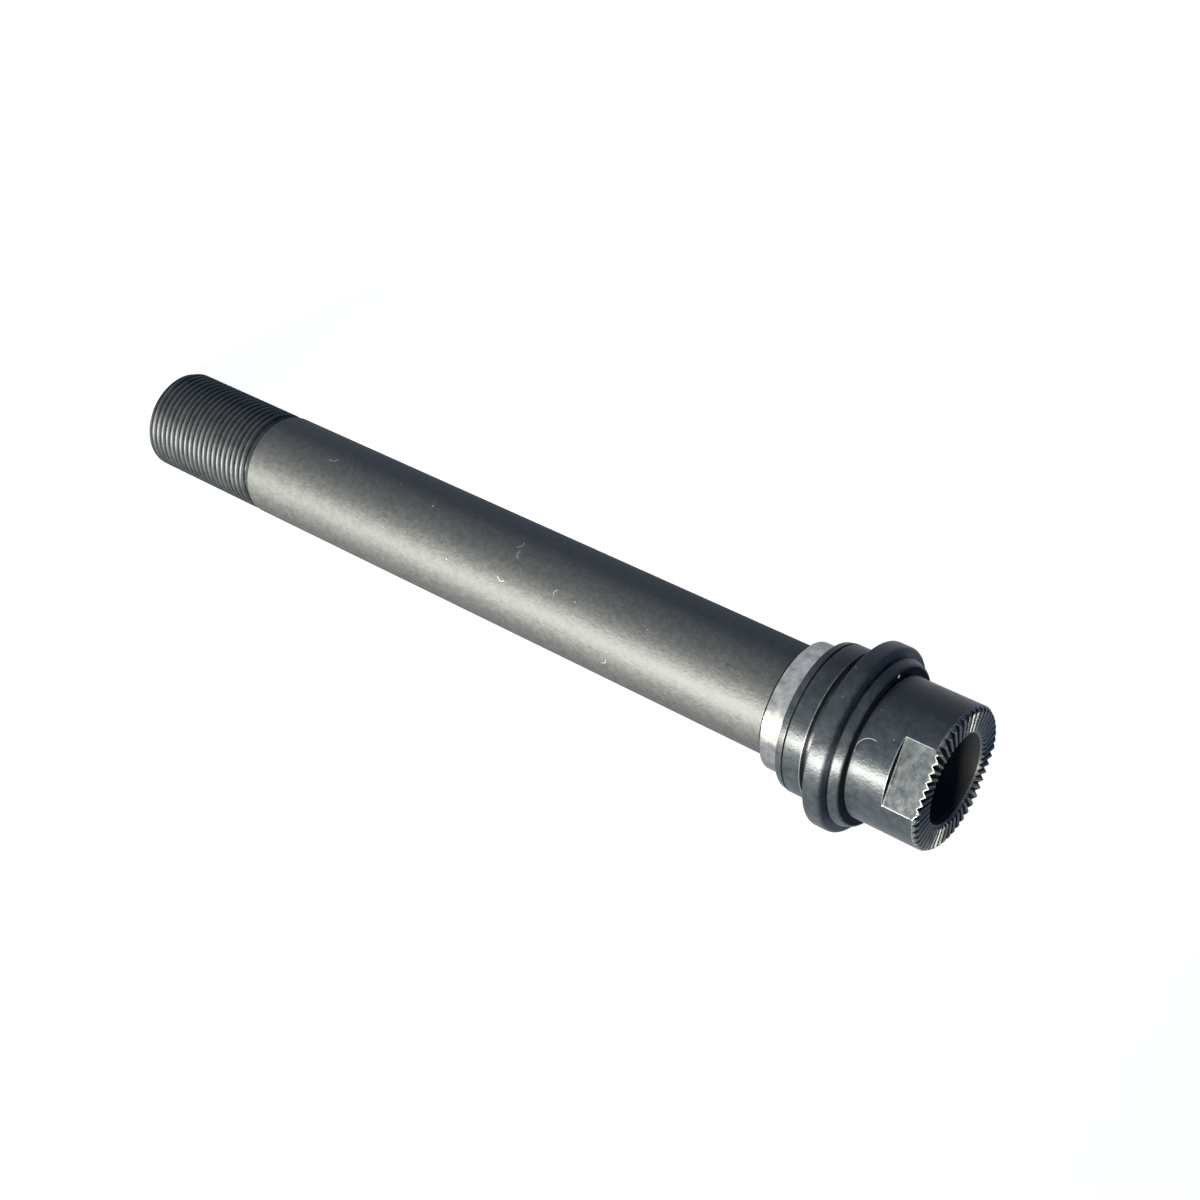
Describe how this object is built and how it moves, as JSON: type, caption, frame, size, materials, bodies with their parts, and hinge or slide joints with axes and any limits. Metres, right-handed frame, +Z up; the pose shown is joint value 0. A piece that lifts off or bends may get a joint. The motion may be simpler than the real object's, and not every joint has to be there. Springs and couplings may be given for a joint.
{
  "type": "hub axle",
  "caption": "Hollow steel hub axle with a thread at one end and, at the other, a flanged labyrinth seal, a ground bearing seat, wrench flats and a toothed end face.",
  "frame": {"origin": "on the axis, at the face of the threaded end that the axle stands on", "axes": "+Z up along the bore from the threaded end to the tooth tips; the two wrench flats face -Y and +Y"},
  "size_m": [0.0248, 0.0248, 0.1364],
  "materials": {
    "axle": "black oxide over turned steel, with the bearing seat ground bright"
  },
  "bodies": {
    "root": {"axle": "axle"}
  },
  "joints": []
}
